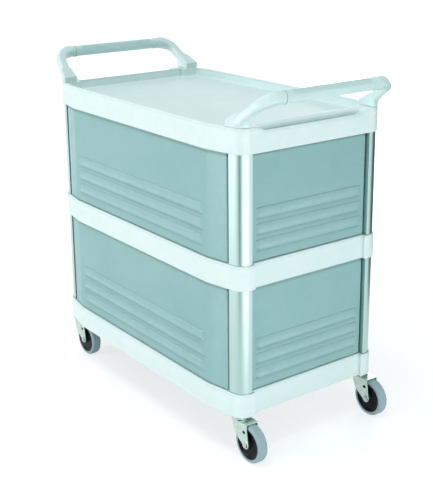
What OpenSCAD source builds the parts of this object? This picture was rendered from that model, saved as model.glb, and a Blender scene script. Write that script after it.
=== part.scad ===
// Three-shelf service cart with closed front and ends, open back,
// two end handles and four swivelling stem casters.
// Millimetres. X runs along the cart, the closed long side faces -Y, Z is up.
// The origin is on the floor, under the middle of the cart.

/* [Body] */
// Length over the shelf ends
body_l = 898; // [780:2:1000]
// Width over the straight long sides
body_w = 508; // [440:2:600]
// Height of the lowest shelf's underside above the floor
deck_z = 112.6; // [112.6:0.2:124]
// Distance from one shelf to the next
shelf_pitch = 346.1; // [280:1:420]
// Where the long sides start to taper, measured from the shelf end
taper_run = 118; // [100:1:150]
// How far each long side draws in over the taper
taper_in = 16; // [8:1:20]
// Radius of the shelf corners seen from above
corner_r = 36; // [30:1:42]

/* [Shelves] */
// Height of a shelf's outer band
shelf_h = 65; // [58:1:80]
// Depth of the tray in a shelf
tray_depth = 24; // [16:1:28]
// Thickness of the outer bands, and width of the rim along the long sides
rim_w = 10; // [8:0.5:12]
// Distance from the shelf end to the tray wall
end_rim_w = 41; // [38:1:50]
// Thickness of the skin over the hollows in the shelf ends
skin_t = 5; // [4:0.5:6]
// Thickness of the shelf floor
floor_t = 5; // [4:0.5:7]
// Thickness of the ribs under a shelf
rib_t = 3.6; // [2.4:0.2:5]
// Number of ribs across a shelf
cross_ribs = 9; // [7:2:13]
// Number of ribs along a shelf
long_ribs = 5; // [3:2:7]
// Depth of the ribs below the shelf floor
rib_h = 22; // [14:1:28]
// Inside radius of the tray corners
tray_r = 18; // [10:1:26]
// How far the end bands of the two lower shelves stand back
end_step = 11; // [6:1:13]
// Wall of a corner block between its upright and the end bay
block_wall = 7.8; // [6:0.2:12]

/* [Finger grooves] */
// How much lower the lip of the top shelf's ends is
lip_drop = 12; // [6:1:16]
// Thickness of that lip
lip_t = 7; // [5:0.5:9]
// Width of the groove behind the lip
groove_w = 13; // [10:0.5:16]
// Depth of the groove below the lip
groove_depth = 17; // [10:1:22]
// Distance from the end of the lowered lip to the corner block
lip_end = 22; // [12:1:60]
// Length of the ramp that leads out of a groove at each end
groove_run = 32; // [10:1:40]

/* [Uprights] */
// Size of an upright along each side of its corner
post_w = 42; // [36:0.5:46]
// How far the uprights stand back from the shelf faces
post_inset = 4; // [3:0.5:6]
// Wall thickness of the uprights
post_wall = 2.6; // [2:0.2:3.2]
// Thickness of the bottom shelf below the feet of the uprights
foot_wall = 6; // [4:0.5:20]
// Depth of the pocket that holds the head of an upright
head_depth = 36; // [24:1:38]
// Gap around an upright in its pockets
post_clear = 0.3; // [0.2:0.05:0.5]

/* [Panels] */
// Thickness of the double-walled panels
panel_t = 12; // [10:0.5:14]
// How far the panels stand back from the shelf bands
panel_inset = 5; // [4:0.5:6]
// Radius of the panels' rounded front edges
panel_edge = 7; // [4:0.5:9]
// Radius of the panels' corners seen from their face
panel_corner = 9; // [5:1:12]
// Gap between a panel and the uprights beside it
panel_gap = 5; // [2:0.5:8]
// Number of raised beads in the lower half of a panel
beads = 3; // [2:1:5]
// How far the beads stand out of a panel's face
bead_t = 3.5; // [2:0.5:4]
// Height of one bead
bead_h = 31; // [22:1:34]
// Distance from one bead to the next
bead_pitch = 41.5; // [36:0.5:50]
// Height of the lowest bead's foot above the panel's foot
bead_z = 26; // [14:1:40]
// Radius of the curve under a bead
bead_roll = 9; // [5:1:12]
// Radius of a bead's slightly bulging face
bead_bulge = 110; // [80:5:200]
// Length of a bead's sloping ends
bead_slope = 12; // [8:1:20]
// Distance from a bead's end to the end of the flat face
bead_margin = 16; // [12:1:30]
// Width of a fixing tab
tab_w = 60; // [30:5:90]
// Thickness of a fixing tab
tab_t = 3.4; // [2.4:0.2:4]
// Reach of a fixing tab past the panel
tab_h = 12; // [8:1:16]
// Gap between a tab and the shelf wall that it hooks
tab_clear = 0.3; // [0.2:0.05:0.6]

/* [Handles] */
// Height of the grips' axis above the top shelf
grip_rise = 75; // [60:1:100]
// How far the grips' axis stands out past the shelf end
grip_out = 53; // [46:1:70]
// Width of a grip
grip_w = 29; // [24:0.5:34]
// Height of a grip
grip_h = 33.5; // [28:0.5:40]
// Length of the plain shoulder between a grip and its elbow
shoulder_l = 15; // [8:1:40]
// Thickness of the grip sleeve
sleeve_t = 4; // [3:0.5:6]
// Number of ribs on the top of a grip
grip_ribs = 11; // [5:2:15]
// Slope of the handle arms in degrees
arm_slope = 36; // [30:1:40]
// Radius of the bend between arm and grip
elbow_r = 46; // [40:1:54]
// Length of the straight part of an arm
arm_run = 58; // [50:1:64]
// How far an arm leans in towards the grip
arm_lean = 12; // [6:1:16]
// Width of an arm below its bend
arm_w = 28; // [22:1:32]
// Thickness of an arm below its bend
arm_t = 23; // [18:1:26]
// How far an arm lies below the plane through the grip's axis
arm_drop = 2; // [0:0.5:4]
// Width of an arm at its foot
foot_w = 35; // [28:1:38]
// Thickness of an arm at its foot
foot_t = 26; // [20:1:28]
// Length of the base block along the shelf
base_l = 54; // [50:1:60]
// Step from the corner block's inner side to the base block
base_step = 13; // [8:1:18]
// Height of the base block at its back
base_h = 16; // [12:1:22]

/* [Casters] */
// Diameter of the wheels
wheel_d = 101.6; // [90:0.2:101.6]
// Width of the tyres
wheel_w = 28; // [24:1:32]
// Diameter of the wheel body inside the tyre
hub_d = 84; // [66:1:88]
// Distance from the swivel axis to the axle
trail = 48; // [42:1:52]
// Distance of a stem from the inner face of its upright, along the cart
stem_in_x = 14.5; // [14.5:0.5:20]
// Distance of a stem from the inner face of its upright, across the cart
stem_in_y = 18.5; // [14.5:0.5:20]
// Diameter of the axle bolts
axle_d = 8; // [6:0.5:10]
// Diameter of the caster stems
stem_d = 11; // [9:0.5:14]
// Length of a stem in its socket
stem_l = 38; // [30:1:44]
// Diameter of the swivel race
race_d = 46; // [40:1:50]
// Diameter of the balls in the race
ball_d = 4.8; // [4:0.2:5]
// Number of balls in one race
balls = 14; // [8:1:18]
// Thickness of the fork's sheet
fork_t = 3; // [2.4:0.2:3.6]
// Radius of the fork's tip round the axle
leg_tip_r = 10.5; // [9:0.5:13]
// Width of the pressed ring round the axle on the fork
leg_ring_w = 2; // [1:0.5:3]
// Gap between wheel and fork on each side
wheel_gap = 3; // [2:0.5:5]

/* [Fasteners] */
// Height of the upright screws above a shelf's underside
screw_rise = 20; // [14:1:26]
// Diameter of the screws
screw_d = 5; // [4:0.5:6]
// Diameter of the screw heads
screw_head = 10; // [8:0.5:12]
// Height of the screw heads
screw_head_h = 3; // [2:0.5:4]
// Gap around a screw in its hole
screw_clear = 0.1; // [0.05:0.05:0.2]

/* [Hidden] */
$fn = 48;
eps = 0.01;
half_l = body_l / 2;
half_w = body_w / 2;
corner_signs = [[1, -1], [1, 1], [-1, -1], [-1, 1]];
levels = [deck_z, deck_z + shelf_pitch, deck_z + 2 * shelf_pitch];
top_z = levels[2] + shelf_h;

// Plan outline of a shelf
taper_x = half_l - taper_run;
taper_slope = taper_in / (taper_run - corner_r);
taper_len = sqrt(1 + taper_slope * taper_slope);
function side_y(x, inset = 0) =
    half_w - inset * (abs(x) > taper_x ? taper_len : 1) - max(0, abs(x) - taper_x) * taper_slope;
function kink_shift(inset) = inset * (taper_len - 1) / taper_slope;

// Middle of an upright, and of the caster below it
post_x1 = half_l - post_inset;
post_x0 = post_x1 - post_w;
post_y1 = side_y(post_x0, post_inset);
post_y0 = post_y1 - post_w;
post_mid = post_w * 0.44;
foot_z = levels[0] + foot_wall;
end_half = post_y0 - block_wall;
lip_half = end_half - lip_end;
swivel_x = post_x0 + stem_in_x;
swivel_y = post_y0 + stem_in_y;

// Heights of the caster's pieces, from the floor
wheel_r = wheel_d / 2;
race_t = 2.6;
crown_z = deck_z - race_t - ball_d - fork_t + 0.8;
fork_in = wheel_w / 2 + wheel_gap;
run_clear = 0.05;
seat_clear = 0.2;

// Repeats its children at the four corners, mirrored from the back right one
module at_corners() {
    for (s = corner_signs)
        scale_sign(s[0], s[1]) children();
}

module scale_sign(sx, sy) {
    mirror([sx < 0 ? 1 : 0, 0, 0])
        mirror([0, sy < 0 ? 1 : 0, 0])
            children();
}

// Rounded rectangle about the origin
module round_rect(w, h, r) {
    square([w - 2 * r, h], center = true);
    square([w, h - 2 * r], center = true);
    for (x = [-1, 1], y = [-1, 1])
        translate([x * (w / 2 - r), y * (h / 2 - r)]) circle(r);
}

// Plan outline of a shelf, drawn in by an inset
module outline(inset = 0) {
    kx = taper_x + kink_shift(inset);
    r = corner_r - inset;
    cx = half_l - corner_r;
    cy = side_y(cx) - corner_r * taper_len;
    tx = cx + r * taper_slope / taper_len;
    ty = cy + r / taper_len;
    polygon([for (s = [[1, 1], [-1, 1], [-1, -1], [1, -1]])
        let (row = [[half_l - inset, cy], [tx, ty], [kx, half_w - inset]])
        for (p = s[0] * s[1] > 0 ? row : [row[2], row[1], row[0]]) [s[0] * p[0], s[1] * p[1]]]);
    for (s = corner_signs)
        translate([s[0] * cx, s[1] * cy]) circle(r, $fn = 96);
}

// The part of a shelf corner that stays solid for an upright and a handle
block_x = half_l - end_rim_w - 16;
module corner_block() {
    difference() {
        translate([block_x, end_half]) square([body_l, body_w]);
        translate([block_x, end_half]) square(tray_r / 2);
    }
    translate([block_x + tray_r / 2, end_half + tray_r / 2]) circle(tray_r / 2);
}

module corner_blocks() {
    for (s = corner_signs)
        scale_sign(s[0], s[1]) corner_block();
}

module tray_plan() {
    difference() {
        intersection() {
            outline(rim_w);
            round_rect(body_l - 2 * end_rim_w, body_w - 2 * rim_w, tray_r);
        }
        corner_blocks();
    }
}

// Hollow under a shelf, inside the bands and around the corner blocks
module underside_plan() {
    difference() {
        intersection() {
            outline(rim_w);
            square([2 * (half_l - end_step - rim_w), body_w], center = true);
        }
        corner_blocks();
    }
}

module ribs() {
    inner_l = 2 * (half_l - end_step - rim_w);
    for (i = [1 : cross_ribs])
        translate([-inner_l / 2 + inner_l * i / (cross_ribs + 1), 0])
            square([rib_t, body_w], center = true);
    for (i = [1 : long_ribs])
        translate([0, -half_w + body_w * i / (long_ribs + 1)])
            square([body_l, rib_t], center = true);
}

// Section of an upright at the back right corner, grown or shrunk
module post_section(grow = 0) {
    intersection() {
        outline(post_inset - grow);
        translate([post_x0 - grow, post_y0 - grow]) square(post_w * 2);
    }
}

// Section of the hollow in an upright
module post_hollow() {
    intersection() {
        outline(post_inset + post_wall);
        translate([post_x0 + post_wall, post_y0 + post_wall]) square(post_w * 2);
    }
}

// A shelf with its tray, ribs and corner blocks, its underside at z = 0
module shelf_body(flush_ends) {
    deck_under = shelf_h - tray_depth - floor_t;
    difference() {
        linear_extrude(shelf_h) outline();
        translate([0, 0, shelf_h - tray_depth])
            linear_extrude(tray_depth + 1) tray_plan();
        translate([0, 0, -1])
            linear_extrude(deck_under - rib_h + 1) underside_plan();
        translate([0, 0, -1])
            linear_extrude(deck_under + 1) difference() {
                underside_plan();
                ribs();
            }
        for (s = [-1, 1])
            scale_sign(s, 1) end_hollow(flush_ends);
        if (!flush_ends)
            for (s = [-1, 1])
                translate([s * half_l, 0, shelf_h / 2])
                    cube([2 * end_step, 2 * end_half, shelf_h + 2], center = true);
    }
}

// Hollow under the rim at a shelf's end, between the tray's wall and the band
module end_hollow(flush_ends) {
    x0 = half_l - end_rim_w + skin_t;
    x1 = half_l - (flush_ends ? lip_t + groove_w + skin_t : end_step + rim_w);
    z0 = shelf_h - tray_depth - floor_t - eps;
    z1 = shelf_h - (flush_ends ? 2 * skin_t + 1 : skin_t);
    translate([x0, skin_t - end_half, z0])
        cube([x1 - x0, 2 * (end_half - skin_t), z1 - z0]);
}

// Screw holes from the bay into the uprights, through a shelf's corner blocks
screw_at = post_x0 + post_w * 0.35;
module upright_screw_at(level) {
    translate([screw_at, end_half, levels[level] + screw_rise]) rotate([-90, 0, 0]) children();
}

module screw_hole(len) {
    translate([0, 0, -eps]) cylinder(d = screw_d + 2 * screw_clear, h = len);
}

module top_shelf() {
    color("aliceblue") difference() {
        union() {
            translate([0, 0, levels[2]]) shelf_body(true);
            for (s = [-1, 1])
                scale_sign(s, 1) groove_trough();
        }
        at_corners() {
            translate([0, 0, levels[2] - 1])
                linear_extrude(head_depth + 1) post_section(post_clear);
            handle_screw_places()
                translate([0, 0, levels[2] + head_depth - 1])
                    cylinder(d = screw_d + 2 * screw_clear, h = shelf_h);
            upright_screw_at(2) screw_hole(post_w / 2);
        }
        for (s = [-1, 1])
            scale_sign(s, 1) finger_groove();
        panel_tabs(1, tab_clear - eps);
    }
}

// Material round the finger groove, below the tray's level
module groove_trough() {
    x0 = half_l - lip_t - groove_w - skin_t;
    z0 = top_z - lip_drop - groove_depth - skin_t;
    translate([x0, -end_half, z0])
        cube([half_l - skin_t - x0, 2 * end_half, top_z - lip_drop - z0]);
}

// Cutter for the lowered lip, the rounded rim behind it and the groove between
module finger_groove() {
    intersection() {
        rotate([90, 0, 0]) linear_extrude(2 * end_half, center = true) groove_section();
        rotate([90, 0, 90]) linear_extrude(body_l) groove_side();
    }
}

lip_z = top_z - lip_drop;
module groove_section() {
    roll_r = end_rim_w - lip_t - groove_w - 3;
    roll_x = half_l - lip_t - groove_w - roll_r;
    difference() {
        union() {
            translate([roll_x, lip_z]) square([end_rim_w * 2, lip_drop + 1]);
            translate([half_l - lip_t - groove_w, lip_z - groove_depth + groove_w / 2])
                square([groove_w, groove_depth]);
            translate([half_l - lip_t - groove_w / 2, lip_z - groove_depth + groove_w / 2])
                circle(groove_w / 2);
        }
        translate([roll_x, top_z - roll_r]) circle(roll_r);
    }
}

// Groove seen from the cart's end: ramps up to the lip, then a step up to the corner
module groove_side() {
    half = [
        for (f = [0 : 0.25 : 1])
            [lip_half - groove_run * (1 - f), lip_z - groove_depth * (1 + cos(180 * f)) / 2],
        [lip_half + lip_drop * 0.7, top_z],
        [lip_half + lip_drop * 0.7, top_z + 2],
    ];
    polygon(concat([[0, lip_z - groove_depth]], half, [[0, top_z + 2]]));
    mirror([1, 0]) polygon(concat([[0, lip_z - groove_depth]], half, [[0, top_z + 2]]));
}

module middle_shelf() {
    color("aliceblue") difference() {
        translate([0, 0, levels[1]]) shelf_body(false);
        at_corners() {
            translate([0, 0, levels[1] - 1])
                linear_extrude(shelf_h + 2) post_section(post_clear);
            upright_screw_at(1) screw_hole(post_w / 2);
        }
        panel_tabs(0, tab_clear - eps);
        panel_tabs(1, tab_clear - eps);
    }
}

boss_d = stem_d + 11;
module bottom_shelf() {
    color("aliceblue") difference() {
        union() {
            difference() {
                translate([0, 0, levels[0]]) shelf_body(false);
                at_corners()
                    translate([0, 0, foot_z])
                        linear_extrude(shelf_h - foot_wall + 1) post_section(post_clear);
            }
            at_corners()
                translate([swivel_x, swivel_y, levels[0] + 1])
                    cylinder(d = boss_d, h = stem_l + 6);
        }
        at_corners() {
            translate([swivel_x, swivel_y, levels[0] - 1])
                cylinder(d = stem_d + 2 * run_clear, h = stem_l + 1 + run_clear);
            upright_screw_at(0) screw_hole(post_w / 2);
        }
        panel_tabs(0, tab_clear - eps);
    }
}

// One upright at the back right corner
module upright() {
    head_z = levels[2] + head_depth;
    difference() {
        translate([0, 0, foot_z])
            linear_extrude(head_z - foot_z) difference() {
                post_section();
                post_hollow();
            }
        for (level = [0 : 2])
            upright_screw_at(level) screw_hole(post_w / 2);
    }
}

module upright_at(i) {
    color("lightsteelblue") scale_sign(corner_signs[i][0], corner_signs[i][1]) upright();
}

// A round-headed screw, its head's seat at z = 0 and its thread upwards
module screw(len) {
    cylinder(d = screw_d, h = len);
    translate([0, 0, -screw_head_h]) cylinder(d = screw_head, h = screw_head_h);
}

module upright_screws() {
    color("silver") at_corners()
        for (level = [0 : 2])
            upright_screw_at(level) screw(post_y0 - end_half + post_wall + 3.5);
}

// Places of the two screws that hold one handle arm
module handle_screw_places() {
    for (d = [-1, 1])
        translate([post_x0 + post_mid + d * 8, post_y0 + post_mid - d * 8]) children();
}

module handle_screws() {
    seat_z = levels[2] + head_depth;
    color("silver") at_corners()
        handle_screw_places()
            translate([0, 0, seat_z]) screw(top_z - seat_z + 14);
}

// Height of a panel and the level of its foot
panel_h = shelf_pitch - shelf_h - tab_clear;
function panel_foot(level) = levels[level] + shelf_h;

// Section of a bead: a crisp ledge at its top, a slight bulge and a rolled foot
module bead_section() {
    difference() {
        intersection() {
            translate([-bead_t, 0]) square([bead_t + 1, bead_h]);
            translate([bead_bulge - bead_t, bead_h * 0.45]) circle(bead_bulge, $fn = 360);
        }
        translate([-bead_t, 0]) edge_round(bead_roll);
    }
}

// The beads of one panel, from -half to +half along its face at y = 0
module bead_row(half) {
    top = half - bead_slope;
    for (i = [0 : beads - 1])
        translate([0, 0, bead_z + i * bead_pitch]) intersection() {
            along_face(2 * half) bead_section();
            linear_extrude(bead_h) polygon([[-half, 2], [-half, 0], [-top, -bead_t - eps],
                [top, -bead_t - eps], [half, 0], [half, 2]]);
        }
}

// Runs a section along X: its first axis goes into the panel, its second one up
module along_face(len) {
    rotate([90, 0, 90]) linear_extrude(len, center = true) children();
}

// What a rounded edge takes off a square corner at the origin
module edge_round(r) {
    difference() {
        square(2 * r, center = true);
        translate([r, r]) circle(r);
    }
}

// Rounds the head and the foot of a face towards -Y
module face_edges_cut(len) {
    along_face(len) edge_round(panel_edge);
    translate([0, 0, panel_h]) mirror([0, 0, 1]) along_face(len) edge_round(panel_edge);
}

// Rounds the corners of a panel seen from its face; x is the panel's end
module face_corner_cut(x) {
    translate([x, 0, 0]) for (z = [0, panel_h])
        translate([0, 0, z]) mirror([0, 0, z > 0 ? 1 : 0])
            rotate([90, 0, 0]) linear_extrude(body_w, center = true)
                mirror([1, 0]) edge_round(panel_corner);
}

front_face = half_w - panel_inset;
front_kink = taper_x + kink_shift(panel_inset);
front_end = post_x0 - panel_gap;
wing_angle = atan(taper_slope);

// Plan of the front panel, whose ends follow the taper of the shelves
module front_plan() {
    difference() {
        intersection() {
            difference() {
                outline(panel_inset);
                outline(panel_inset + panel_t);
            }
            translate([-front_end, -body_w]) square([2 * front_end, body_w - end_half]);
        }
        for (s = [-1, 1])
            translate([s * front_end, -side_y(front_end, panel_inset)])
                rotate(s * wing_angle) mirror([s > 0 ? 1 : 0, 0]) edge_round(panel_edge);
    }
}

module front_panel(level) {
    color("lightslategray") translate([0, 0, panel_foot(level)]) {
        difference() {
            linear_extrude(panel_h) front_plan();
            translate([0, -front_face, 0]) face_edges_cut(body_l);
            for (s = [-1, 1]) {
                translate([s * front_kink, -front_face, 0]) rotate([0, 0, s * wing_angle])
                    face_edges_cut(body_l);
                scale_sign(s, 1) face_corner_cut(front_end);
            }
        }
        translate([0, -front_face, 0]) bead_row(front_kink - bead_margin);
        front_tabs();
    }
}

// Fixing tab along X that runs through a panel's edge at z = 0
module tab(grow = 0) {
    root = panel_edge + 2;
    translate([-tab_w / 2 - grow, -tab_t / 2 - grow, -root])
        cube([tab_w + 2 * grow, tab_t + 2 * grow, tab_h + root + grow]);
}

// Tabs at the head and the foot of a panel whose foot is at z = 0
module tab_pair(grow = 0) {
    translate([0, 0, panel_h]) tab(grow);
    mirror([0, 0, 1]) tab(grow);
}

module front_tabs(grow = 0) {
    for (x = [-taper_x * 0.75, 0, taper_x * 0.75])
        translate([x, -half_w + rim_w + tab_clear + tab_t / 2, 0]) tab_pair(grow);
}

module end_tabs(grow = 0) {
    for (y = [-end_half / 2, end_half / 2])
        translate([half_l - end_step - rim_w - tab_clear - tab_t / 2, y, 0])
            rotate([0, 0, 90]) tab_pair(grow);
}

// All panel tabs of one bay
module panel_tabs(level, grow) {
    translate([0, 0, panel_foot(level)]) {
        front_tabs(grow);
        for (s = [-1, 1])
            scale_sign(s, 1) end_tabs(grow);
    }
}

end_face = half_l - end_step - panel_inset + 1;
end_width = 2 * (post_y0 - 1);

module end_panel(level, s) {
    color("lightslategray") scale_sign(s, 1) translate([0, 0, panel_foot(level)]) {
        translate([end_face, 0, 0]) rotate([0, 0, 90]) {
            difference() {
                linear_extrude(panel_h) difference() {
                    translate([-end_width / 2, 0]) square([end_width, panel_t]);
                    translate([-end_width / 2, 0]) edge_round(panel_edge);
                    translate([end_width / 2, 0]) mirror([1, 0]) edge_round(panel_edge);
                }
                face_edges_cut(body_w);
                for (t = [-1, 1])
                    scale_sign(t, 1) face_corner_cut(end_width / 2);
            }
            bead_row(end_width / 2 - bead_margin);
        }
        end_tabs();
    }
}

// Frame of the handle: a plane that slopes up and outwards through the grip's axis
grip_x = half_l + grip_out;
grip_z = top_z + grip_rise;

// Half of the handle's path in that plane: distance inwards, distance from the
// middle, width across the plane, thickness and drop below it, from the elbow to the base
base_in = end_half + base_step;
arm_mid = (base_in + side_y(half_l - base_l)) / 2;
elbow_y = arm_mid - arm_lean - elbow_r;
grip_half = elbow_y - shoulder_l;
arm_rows = [
    for (a = [0 : 15 : 75])
        let (thin = (grip_h - arm_t) * pow(a / 90, 1.4))
        [elbow_r * (1 - cos(a)), elbow_y + elbow_r * sin(a),
            grip_w + 1 - (grip_w + 1 - arm_w) * a / 90, grip_h - thin, arm_drop * a / 90],
    for (f = [0.07, 0.34, 0.66, 1])
        [elbow_r + f * arm_run, arm_mid - arm_lean * (1 - f * 0.9),
            arm_w + (foot_w - arm_w) * f * f, arm_t + (foot_t - arm_t) * f, arm_drop],
];
ring_n = 20;

// A rounded-square ring of points: width w in the plane, thickness t across it
function soft(v) = sign(v) * pow(abs(v), 0.52);
function ring(row, dir, slope) = [
    for (k = [0 : ring_n - 1])
        let (a = 360 * k / ring_n)
        let (u = row[2] / 2 * soft(cos(a)), v = row[3] / 2 * soft(sin(a)) - row[4])
        let (s = -row[0] + u * dir[0], y = row[1] + u * dir[1])
        [grip_x + s * cos(slope) - v * sin(slope), y, grip_z + s * sin(slope) + v * cos(slope)]
];

// Direction across the path in the handle's plane, from its neighbours
function across(rows, i) =
    let (a = rows[max(0, i - 1)], b = rows[min(len(rows) - 1, i + 1)])
    let (d = [-(b[0] - a[0]), b[1] - a[1]])
    let (f = i == 0 ? [0, 1] : d / norm(d))
    [f[1], -f[0]];

module arm() {
    n = len(arm_rows);
    pts = [for (i = [0 : n - 1]) each ring(arm_rows[i], across(arm_rows, i), arm_slope)];
    sides = [
        for (i = [0 : n - 2], k = [0 : ring_n - 1])
            let (a = i * ring_n + k, b = i * ring_n + (k + 1) % ring_n)
            each [[a, b, a + ring_n], [b, b + ring_n, a + ring_n]]
    ];
    polyhedron(pts, concat(
        [[for (k = [ring_n - 1 : -1 : 0]) k]],
        sides,
        [[for (k = [0 : ring_n - 1]) (n - 1) * ring_n + k]]
    ), convexity = 6);
}

// Base block of a handle arm, standing on the shelf's corner
module arm_base() {
    intersection() {
        translate([0, 0, top_z]) linear_extrude(grip_rise) intersection() {
            outline(0.4);
            translate([half_l - base_l, base_in]) square([body_l, body_w]);
        }
        translate([half_l - base_l, body_w, top_z]) rotate([90, 0, 0])
            linear_extrude(body_w) base_profile();
    }
}

// Side view of the base block: upright back, sloping top, cut-away front
module base_profile() {
    back_r = 4;
    nose_l = base_l * 0.26;
    rise = (base_l - nose_l - back_r) * tan(arm_slope) * 0.8;
    polygon([[0, 0], [0, base_h], [back_r, base_h + back_r - 1],
        [base_l - nose_l, base_h + back_r - 1 + rise],
        [base_l, base_h + rise - 2], [base_l, 0]]);
}

module grip_oval(grow = 0) {
    w = grip_w + 2 * grow;
    h = grip_h + 2 * grow;
    translate([0, (h - w) / 2]) circle(d = w);
    translate([0, -(h - w) / 2]) circle(d = w);
    square([w, h - w], center = true);
}

// Runs its children's section along the grip's axis, from -half to +half
module along_grip(half) {
    translate([grip_x, 0, grip_z]) rotate([90, 0, 0])
        linear_extrude(2 * half, center = true) children();
}

module handle(s) {
    color("aliceblue") mirror([s < 0 ? 1 : 0, 0, 0]) difference() {
        union() {
            along_grip(elbow_y + 1) grip_oval(-sleeve_t - seat_clear);
            for (t = [-1, 1])
                mirror([0, t < 0 ? 1 : 0, 0]) {
                    arm();
                    arm_base();
                    collar_shoulder();
                }
        }
        for (t = [-1, 1])
            mirror([0, t < 0 ? 1 : 0, 0])
                handle_screw_places()
                    translate([0, 0, top_z - 1])
                        cylinder(d = screw_d + 2 * screw_clear, h = 15.5);
        translate([0, -half_w, top_z - grip_rise]) cube([body_l, body_w, grip_rise]);
    }
}

// Straight shoulder between the grip sleeve and the elbow
module collar_shoulder() {
    translate([grip_x, elbow_y + 0.5, grip_z]) rotate([90, 0, 0])
        linear_extrude(shoulder_l + 0.5) grip_oval();
}

module grip(s) {
    color("powderblue") mirror([s < 0 ? 1 : 0, 0, 0]) {
        along_grip(grip_half) difference() {
            grip_oval(-0.8);
            grip_oval(-sleeve_t);
            grip_flutes();
        }
        for (t = [-1, 1])
            translate([0, t * (grip_half - 3), 0]) along_grip(3) difference() {
                grip_oval(0.6);
                grip_oval(-sleeve_t);
            }
    }
}

// Shallow flutes along the upper half of the grip
module grip_flutes() {
    for (i = [0 : grip_ribs - 1])
        let (a = 180 * (i + 0.5) / grip_ribs)
        translate([cos(a) * (grip_w / 2 - 0.3), sin(a) * (grip_w / 2 - 0.3) + (grip_h - grip_w) / 2])
            circle(r = 1, $fn = 16);
}

// Caster pieces, drawn about the swivel axis with the wheel trailing along +X
module caster_stem(i) {
    top = deck_z + stem_l;
    color("silver") at_caster(i) rotate_extrude() polygon([
        [0, crown_z - 3], [7.5, crown_z - 3], [7.5, crown_z - run_clear], [5, crown_z - run_clear],
        [5, deck_z - race_t - 0.2], [stem_d / 2, deck_z - race_t - 0.2], [stem_d / 2, top - 2],
        [stem_d / 2 - 2, top], [0, top],
    ]);
}

// Upper race: a pressed disc against the shelf, with a lip round the balls
track_r = race_d / 2 - 6;
ball_z = deck_z - race_t - ball_d / 2 + 0.4;
module caster_race(i) {
    color("lightgray") at_caster(i) difference() {
        rotate_extrude() polygon([
            [stem_d / 2 + run_clear, deck_z], [race_d / 2 - 1, deck_z], [race_d / 2, deck_z - 1],
            [race_d / 2, deck_z - race_t - 3.4], [race_d / 2 - 1.4, deck_z - race_t - 3.4],
            [race_d / 2 - 1.4, deck_z - race_t], [stem_d / 2 + run_clear, deck_z - race_t],
        ]);
        ball_track();
    }
}

module ball_track() {
    rotate_extrude() translate([track_r, ball_z]) circle(d = ball_d + 2 * run_clear);
}

module caster_balls(i) {
    color("gray") at_caster(i) for (i = [0 : balls - 1])
        rotate([0, 0, 360 * i / balls]) translate([track_r, 0, ball_z]) sphere(d = ball_d);
}

// Outline of a fork leg in side view, from the crown down to the axle
module fork_leg_plan() {
    difference() {
        leg_outline();
        translate([trail, wheel_r]) circle(d = axle_d + 2 * run_clear);
        translate([trail - 8, wheel_r + 33]) round_rect(11, 8, 3.5);
    }
}

leg_back = trail + 1;
leg_front = -4.5;
module leg_outline() {
    shoulder = crown_z - 12;
    polygon([[leg_front, crown_z + fork_t], [leg_front, shoulder], [leg_front + 9, wheel_r + 18],
        [trail - leg_tip_r * 0.8, wheel_r - leg_tip_r * 0.62],
        [trail + leg_tip_r * 0.98, wheel_r + 1], [leg_back + 4, wheel_r + 34],
        [leg_back, crown_z], [leg_back, crown_z + fork_t]]);
    translate([trail, wheel_r]) circle(leg_tip_r);
}

module caster_fork(i) {
    color("gainsboro") at_caster(i) difference() {
        union() {
            for (s = [-1, 1])
                translate([0, s * (fork_in + fork_t / 2), 0]) rotate([90, 0, 0])
                    linear_extrude(fork_t, center = true) fork_leg_plan();
            translate([0, 0, crown_z]) linear_extrude(fork_t) crown_plan();
            for (s = [-1, 1])
                translate([trail, s * (fork_in + fork_t + 0.6), wheel_r]) rotate([90, 0, 0])
                    difference() {
                        cylinder(r = leg_tip_r - 0.3, h = 1.4, center = true);
                        cylinder(r = leg_tip_r - 0.3 - leg_ring_w, h = 3, center = true);
                    }
        }
        translate([0, 0, crown_z - 1]) cylinder(r = 5 + run_clear, h = fork_t + 2);
        ball_track();
    }
}

// Crown of the fork: a round seat for the balls, and a plate over the wheel between the legs
module crown_plan() {
    circle(race_d / 2 - 1.8);
    translate([leg_front, -fork_in - fork_t / 2])
        square([leg_back - leg_front, 2 * fork_in + fork_t]);
}

module caster_axle(i) {
    half = fork_in + fork_t;
    color("silver") at_caster(i) translate([trail, 0, wheel_r]) rotate([90, 0, 0]) {
        translate([0, 0, -half - nut_h - 2]) cylinder(d = axle_d, h = 2 * half + nut_h + 3);
        translate([0, 0, half]) cylinder(d = axle_d * 1.75, h = 4.5);
    }
}

// Hexagon nut on the axle's end, its bore a turned hole
nut_h = 6.5;
module caster_nut(i) {
    color("silver") at_caster(i) translate([trail, fork_in + fork_t, wheel_r])
        rotate([-90, 0, 0]) difference() {
            cylinder(d = axle_d * 1.9, h = nut_h, $fn = 6);
            translate([0, 0, -1]) cylinder(d = axle_d + 2 * run_clear, h = nut_h + 2);
        }
}

sleeve_d = axle_d + 5;
module caster_sleeve(i) {
    color("silver") at_caster(i) translate([trail, 0, wheel_r]) rotate([90, 0, 0]) difference() {
        cylinder(d = sleeve_d, h = 2 * fork_in - 0.1, center = true);
        cylinder(d = axle_d + 2 * run_clear, h = 2 * fork_in + 2, center = true);
    }
}

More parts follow.
